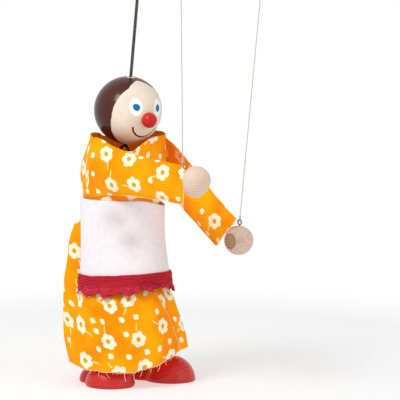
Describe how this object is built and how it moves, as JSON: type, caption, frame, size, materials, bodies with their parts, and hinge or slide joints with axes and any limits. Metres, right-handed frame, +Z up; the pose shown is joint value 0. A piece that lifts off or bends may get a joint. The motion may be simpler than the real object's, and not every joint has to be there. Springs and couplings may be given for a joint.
{
  "type": "wooden puppet",
  "caption": "Wire marionette with turned wooden head, bead hands and red feet, in a printed cotton dress and apron, hung from a wooden control by a head wire and hand strings",
  "frame": {"origin": "middle of the grip on the flat top of the control bar, straight above the torso's middle plane", "axes": "+Z up, -Y the way the body faces, +X the puppet's left"},
  "size_m": [0.092, 0.14, 0.3093],
  "materials": {
    "pale_wood": "sanded and oiled",
    "end_grain": "sawn end grain",
    "face_paint": "varnished, with painted hair and features",
    "red_paint": "gloss paint",
    "red_stain": "satin red stain",
    "steel": "dark drawn wire",
    "orange_cotton": "printed cotton",
    "white_felt": "white felt",
    "red_trim": "woven band",
    "white_cord": "twisted cotton cord",
    "grey_thread": "waxed thread"
  },
  "bodies": {
    "control": {"control_bar": "pale_wood", "control_crossbar": "pale_wood", "crossbar_peg": "end_grain", "right_control_eye": "steel", "left_control_eye": "steel", "head_wire": "steel", "right_string_top": "grey_thread", "left_string_top": "grey_thread"},
    "head": {"head_ball": "face_paint", "nose_peg": "red_paint"},
    "torso": {"torso_block": "pale_wood", "neck_eye": "steel", "bodice": "orange_cotton", "apron": "white_felt", "trim_band": "red_trim", "trim_ruffle": "red_trim", "skirt_right_panel": "orange_cotton", "skirt_left_panel": "orange_cotton"},
    "right_arm": {"right_arm_cord": "white_cord", "right_sleeve": "orange_cotton", "right_string": "grey_thread"},
    "right_hand": {"right_hand_bead": "pale_wood", "right_hand_plug": "end_grain", "right_hand_eye": "steel"},
    "right_leg": {"right_leg_cord": "white_cord"},
    "right_foot": {"right_foot": "red_stain"},
    "left_arm": {"left_arm_cord": "white_cord", "left_sleeve": "orange_cotton", "left_string": "grey_thread"},
    "left_hand": {"left_hand_bead": "pale_wood", "left_hand_plug": "end_grain", "left_hand_eye": "steel"},
    "left_leg": {"left_leg_cord": "white_cord"},
    "left_foot": {"left_foot": "red_stain"}
  },
  "joints": [
    {"name": "head_turn", "type": "hinge", "parent": "control", "child": "head", "pos_m": [0, -0.0002, -0.14039], "axis": [0, -0.1201, 0.9928], "continuous": true},
    {"name": "neck_swing", "type": "hinge", "parent": "control", "child": "torso", "pos_m": [0, 0.003, -0.1668], "axis": [-1, 0, 0], "range_deg": [0, 12], "deforming": ["right_string_top", "left_string_top"]},
    {"name": "right_shoulder", "type": "hinge", "parent": "torso", "child": "right_arm", "pos_m": [-0.0135, 0.003, -0.1798], "axis": [-1, 0, 0], "range_deg": [0, 45], "deforming": ["right_sleeve", "right_string"]},
    {"name": "right_wrist", "type": "hinge", "parent": "right_arm", "child": "right_hand", "pos_m": [-0.018, -0.0774, -0.1751], "axis": [-0.1899, 0.6398, 0.7447], "range_deg": [-25, 25]},
    {"name": "right_hip", "type": "hinge", "parent": "torso", "child": "right_leg", "pos_m": [-0.014, 0.003, -0.2288], "axis": [-1, 0, 0], "range_deg": [-15, 20], "deforming": ["skirt_right_panel"]},
    {"name": "right_foot_turn", "type": "hinge", "parent": "right_leg", "child": "right_foot", "pos_m": [-0.0164, 0.00715, -0.3043], "axis": [0.023, 0.0596, -0.998], "range_deg": [-15, 25]},
    {"name": "left_shoulder", "type": "hinge", "parent": "torso", "child": "left_arm", "pos_m": [0.0135, 0.003, -0.1798], "axis": [-1, 0, 0], "range_deg": [0, 55], "deforming": ["left_sleeve", "left_string"]},
    {"name": "left_wrist", "type": "hinge", "parent": "left_arm", "child": "left_hand", "pos_m": [0.03, -0.0665, -0.2176], "axis": [0.03, -0.04, 0.9988], "range_deg": [-25, 25]},
    {"name": "left_hip", "type": "hinge", "parent": "torso", "child": "left_leg", "pos_m": [0.014, 0.003, -0.2288], "axis": [-1, 0, 0], "range_deg": [-15, 20], "deforming": ["skirt_left_panel"]},
    {"name": "left_foot_turn", "type": "hinge", "parent": "left_leg", "child": "left_foot", "pos_m": [0.0164, -0.00535, -0.3043], "axis": [0.0229, 0.1192, 0.9926], "range_deg": [-15, 25]}
  ]
}
